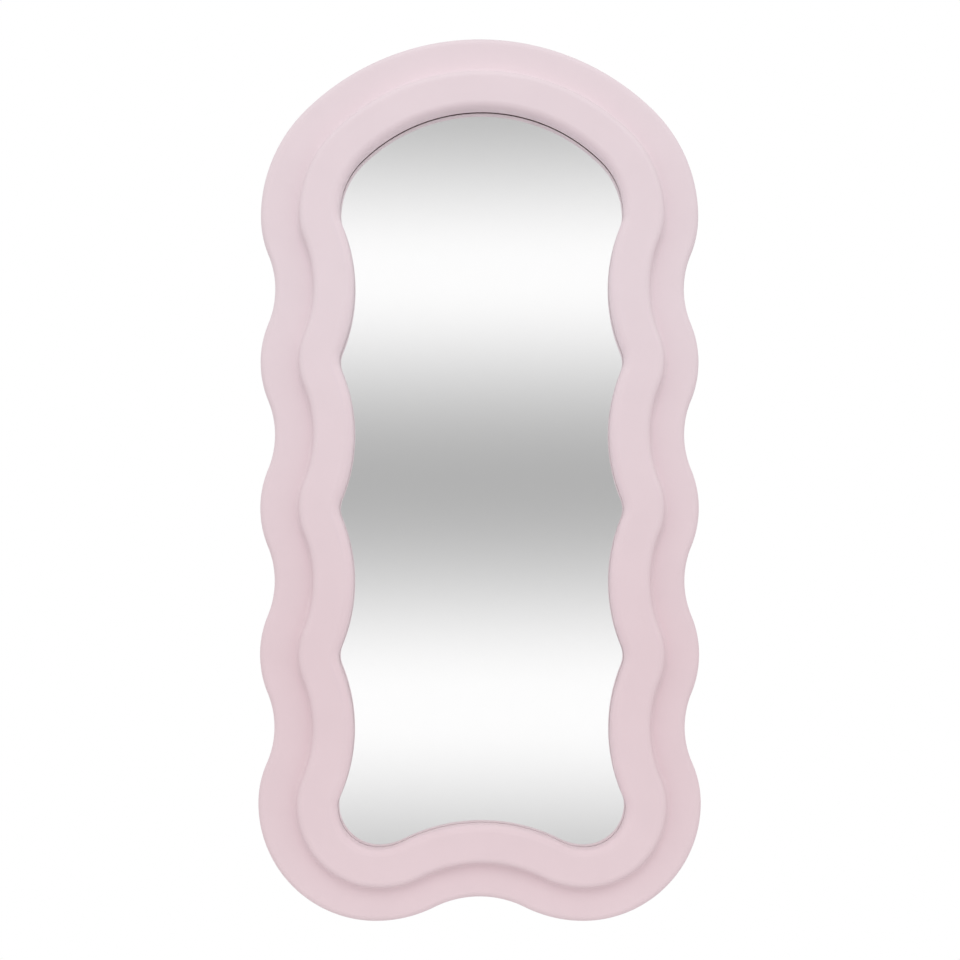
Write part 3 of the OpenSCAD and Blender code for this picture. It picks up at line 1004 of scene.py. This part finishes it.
def world():
    """White behind the object, grey bands for glass and metal to mirror, and soft light from all round."""
    sky = bpy.data.worlds.new("studio")
    bpy.context.scene.world = sky
    sky.use_nodes = True
    nodes, links = sky.node_tree.nodes, sky.node_tree.links
    nodes.clear()

    def glow(strength, colour=None):
        node = nodes.new("ShaderNodeBackground")
        node.inputs["Color"].default_value = (1, 1, 1, 1)
        node.inputs["Strength"].default_value = strength
        if colour:
            links.new(colour, node.inputs["Color"])
        return node.outputs["Background"]

    def mixed(fac, first, second):
        node = nodes.new("ShaderNodeMixShader")
        links.new(fac, node.inputs["Fac"])
        links.new(first, node.inputs[1])
        links.new(second, node.inputs[2])
        return node.outputs["Shader"]

    def ramp(value, stops):
        low, high = stops[0][0], stops[-1][0]
        spread = nodes.new("ShaderNodeMapRange")
        spread.inputs["From Min"].default_value = low
        spread.inputs["From Max"].default_value = high
        links.new(value, spread.inputs["Value"])
        node = nodes.new("ShaderNodeValToRGB")
        node.color_ramp.interpolation = "EASE"
        for i, (place, shade) in enumerate(stops):
            if i in (0, len(stops) - 1):
                stop = node.color_ramp.elements[-1 if i else 0]
            else:
                stop = node.color_ramp.elements.new((place - low) / (high - low))
            stop.color = (*shade, 1)
        links.new(spread.outputs["Result"], node.inputs["Fac"])
        return node.outputs["Color"]

    direction = nodes.new("ShaderNodeTexCoord").outputs["Generated"]
    parts = nodes.new("ShaderNodeSeparateXYZ")
    links.new(direction, parts.inputs["Vector"])
    height = parts.outputs["Z"]
    stops = [(math.sin(math.radians(angle)), (pale, pale, pale)) for angle, pale in BANDS]
    bands = nodes.new("ShaderNodeGamma")
    bands.inputs["Gamma"].default_value = BAND_GAMMA
    links.new(ramp(height, stops), bands.inputs["Color"])

    path = nodes.new("ShaderNodeLightPath")
    mirrored = nodes.new("ShaderNodeMath")
    mirrored.operation = "MAXIMUM"
    links.new(path.outputs["Is Glossy Ray"], mirrored.inputs[0])
    links.new(path.outputs["Is Transmission Ray"], mirrored.inputs[1])
    soft = glow(SKY_STRENGTH, ramp(height, SKY))
    lit = mixed(mirrored.outputs["Value"], soft, glow(BAND_STRENGTH, bands.outputs["Color"]))
    shown = mixed(path.outputs["Is Camera Ray"], lit, glow(1.0))
    links.new(shown, nodes.new("ShaderNodeOutputWorld").inputs["Surface"])


def lamp(name, spot, size, power, toward):
    """A soft light of a width and height, aimed at a spot, that no mirror shows."""
    bpy.ops.object.light_add(type="AREA", location=spot)
    light = bpy.context.object
    light.name = name
    light.data.shape = "RECTANGLE"
    light.data.size, light.data.size_y = size
    light.data.energy = power
    light.rotation_euler = (Vector(toward) - Vector(spot)).to_track_quat("-Z", "Y").to_euler()
    light.visible_glossy = False
    light.visible_transmission = False
    light.visible_camera = False


def studio():
    """The floor, the world and the lamps, one of which stands for what the glass throws on its lip."""
    middle = (CAD_BOX[0] + CAD_BOX[1]) / 2
    floor()
    world()
    lamp("key", KEY_SPOT, LAMP_SIZE, KEY_POWER, middle)
    lamp("back", BACK_SPOT, LAMP_SIZE, BACK_POWER, middle)
    lamp("thrown back by the glass", (0, GLASS_FRONT_Y, middle.z), GLASS_LAMP_SIZE, GLASS_LAMP_POWER,
         (0, FRONT_Y, middle.z))
    bpy.context.scene.view_settings.view_transform = "Standard"


def hinge_of(side):
    """The axis of a hanger's ring, at its middle."""
    joint = next(j for j in frame["joints"] if j["name"] == f"ring_{side}_hinge")
    return Vector(joint["pos_m"])


camera()
studio()

PINK, BARE, ZINC, WIRE, RUBBER = lacquer(), raw_board(), zinc(), ring_wire(), rubber()
hand_over(front_ring(), "frame", "frame_lacquer", ["frame_front_ring"], PINK)
hand_over(rear_board(), "frame", "frame_lacquer", ["frame_rear_board"], PINK, BARE)
hand_over(mirror_pane(), "frame", "mirror", ["mirror_glass"], glass(), silver())
hand_over(bedding_tape(), "frame", "bedding_tape", ["glass_bedding_tape"], tape())
hand_over(back_panel(), "frame", "hardboard", ["back_board"], hardboard())
hand_over(copies("ring_screws_zinc", ring_screw(), ring_screw_spots(BACK_Y), RING_SCREW_TURN),
          "frame", "zinc_steel", ["ring_screws"], ZINC)
hand_over(copies("panel_screws_zinc", pan_screw(), panel_screw_spots(PANEL_BACK_Y), PANEL_SCREW_TURN),
          "frame", "zinc_steel", ["back_board_screws"], ZINC)
for side in ("left", "right"):
    hinge = hinge_of(side)
    screws = [(hinge.x, BACK_Y + PLATE_T, hinge.z - drop) for drop in PLATE_SCREW_DROPS]
    hand_over(hanger_strap(f"hanger_strap_{side}", hinge), "frame", "zinc_steel",
              [f"hanger_plate_{side}"], ZINC)
    hand_over(copies(f"strap_screws_{side}", pan_screw(), screws, STRAP_SCREW_TURN),
              "frame", "zinc_steel", [f"hanger_screws_{side}"], ZINC)
    hand_over(hanger_wire(f"hanger_wire_{side}", hinge), f"ring_{side}", "ring_wire",
              [f"hanger_ring_{side}"], WIRE)
    for level in ("top", "bottom"):
        node = f"wall_bumper_{level}_{side}"
        hand_over(bumper(f"bumper_pad_{level}_{side}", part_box(node)), "frame", "bumper_rubber",
                  [node], RUBBER)

for node, finish in (("safety_film", film()), ("foam_sheet", foam())):
    frame["nodes"][node].data.materials.clear()
    frame["nodes"][node].data.materials.append(finish)
